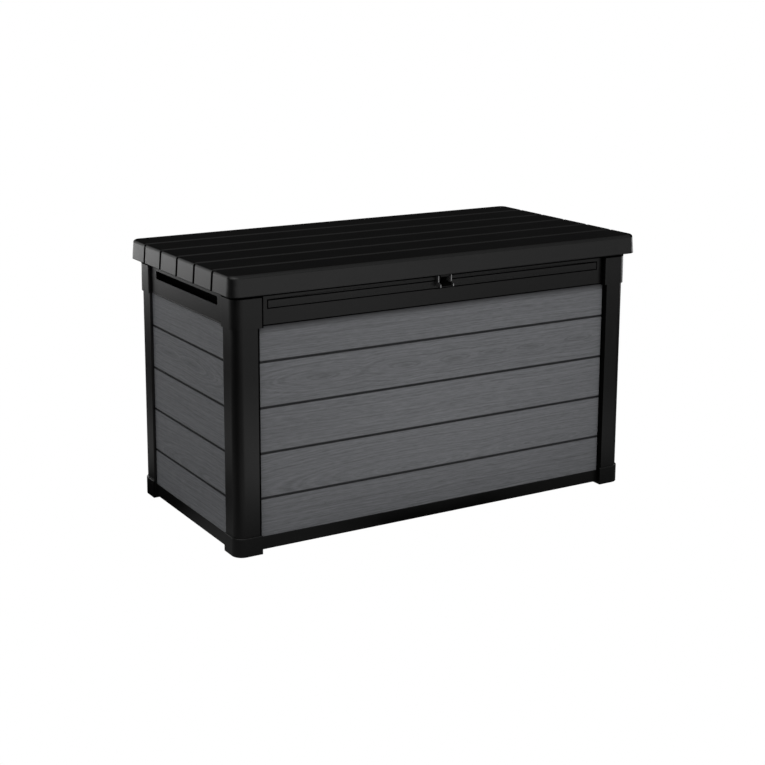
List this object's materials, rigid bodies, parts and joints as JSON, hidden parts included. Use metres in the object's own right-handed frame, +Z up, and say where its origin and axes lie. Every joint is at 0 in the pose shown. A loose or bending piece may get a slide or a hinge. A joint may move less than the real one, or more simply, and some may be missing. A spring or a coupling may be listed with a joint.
{
  "type": "deck storage box",
  "caption": "Large outdoor deck storage box with plank-pattern panels, corner posts, hand slots and a planked lid on rear hinges with gas struts and a padlock bracket.",
  "frame": {"origin": "middle of the box's footprint, on the ground", "axes": "+X along the long side, to the right seen from the front; front faces -Y; +Z up"},
  "size_m": [1.498, 0.7612, 0.86],
  "materials": {
    "black_plastic": "fine moulded texture, matt",
    "wood_grain_plastic": "moulded wood grain, matt grey",
    "zinc": "zinc casting, satin",
    "steel": "zinc-plated",
    "bracket_steel": "black powder coat",
    "strut_paint": "black enamel",
    "strut_chrome": "hard chrome",
    "rubber": "matt"
  },
  "bodies": {
    "box": {"back_panel": "wood_grain_plastic", "back_rail": "black_plastic", "base_tray": "black_plastic", "corner_foot_back_left": "black_plastic", "corner_foot_back_right": "black_plastic", "corner_foot_front_left": "black_plastic", "corner_foot_front_right": "black_plastic", "corner_post_back_left": "black_plastic", "corner_post_back_right": "black_plastic", "corner_post_front_left": "black_plastic", "corner_post_front_right": "black_plastic", "end_panel_left": "wood_grain_plastic", "end_panel_right": "wood_grain_plastic", "end_rail_left": "black_plastic", "end_rail_right": "black_plastic", "foot_screws": "steel", "front_panel": "wood_grain_plastic", "front_rail": "black_plastic", "hinge_box_leaf_left": "black_plastic", "hinge_box_leaf_middle": "black_plastic", "hinge_box_leaf_right": "black_plastic", "hinge_box_screws": "steel", "hinge_pin_left": "steel", "hinge_pin_middle": "steel", "hinge_pin_right": "steel", "lid_bumpers": "rubber", "lock_bracket": "zinc", "lock_screws": "steel", "post_collar_back_left": "black_plastic", "post_collar_back_right": "black_plastic", "post_collar_front_left": "black_plastic", "post_collar_front_right": "black_plastic", "strut_box_bracket_left": "bracket_steel", "strut_box_bracket_right": "bracket_steel", "strut_box_screws": "steel"},
    "lid": {"hinge_lid_leaf_left": "black_plastic", "hinge_lid_leaf_middle": "black_plastic", "hinge_lid_leaf_right": "black_plastic", "hinge_lid_screws": "steel", "lid_liner": "black_plastic", "lid_liner_screws": "steel", "lid_shell": "black_plastic", "lock_tongue": "black_plastic", "lock_tongue_screws": "steel", "strut_lid_bracket_left": "bracket_steel", "strut_lid_bracket_right": "bracket_steel", "strut_lid_screws": "steel"},
    "strut_tube_left": {"strut_tube_eye_left": "steel", "strut_tube_left": "strut_paint"},
    "strut_tube_right": {"strut_tube_eye_right": "steel", "strut_tube_right": "strut_paint"},
    "strut_rod_left": {"strut_rod_eye_left": "steel", "strut_rod_left": "strut_chrome"},
    "strut_rod_right": {"strut_rod_eye_right": "steel", "strut_rod_right": "strut_chrome"}
  },
  "joints": [
    {"name": "lid_hinge", "type": "hinge", "parent": "box", "child": "lid", "pos_m": [0, 0.3647, 0.7883], "axis": [-1, 0, 0], "range_deg": [0, 85]},
    {"name": "strut_rod_pivot_left", "type": "hinge", "parent": "box", "child": "strut_rod_left", "pos_m": [-0.6695, 0.22368, 0.47892], "axis": [-1, 0, 0], "range_deg": [0, 42.5]},
    {"name": "strut_tube_pivot_left", "type": "hinge", "parent": "lid", "child": "strut_tube_left", "pos_m": [-0.6695, 0.02575, 0.815], "axis": [-1, 0, 0], "range_deg": [-42.5, 0]},
    {"name": "strut_rod_pivot_right", "type": "hinge", "parent": "box", "child": "strut_rod_right", "pos_m": [0.6695, 0.22368, 0.47892], "axis": [-1, 0, 0], "range_deg": [0, 42.5]},
    {"name": "strut_tube_pivot_right", "type": "hinge", "parent": "lid", "child": "strut_tube_right", "pos_m": [0.6695, 0.02575, 0.815], "axis": [-1, 0, 0], "range_deg": [-42.5, 0]}
  ],
  "couplings": [
    {"joint": "strut_rod_pivot_left", "follows": "lid_hinge", "ratio": 0.5},
    {"joint": "strut_tube_pivot_left", "follows": "lid_hinge", "ratio": -0.5},
    {"joint": "strut_rod_pivot_right", "follows": "lid_hinge", "ratio": 0.5},
    {"joint": "strut_tube_pivot_right", "follows": "lid_hinge", "ratio": -0.5}
  ]
}
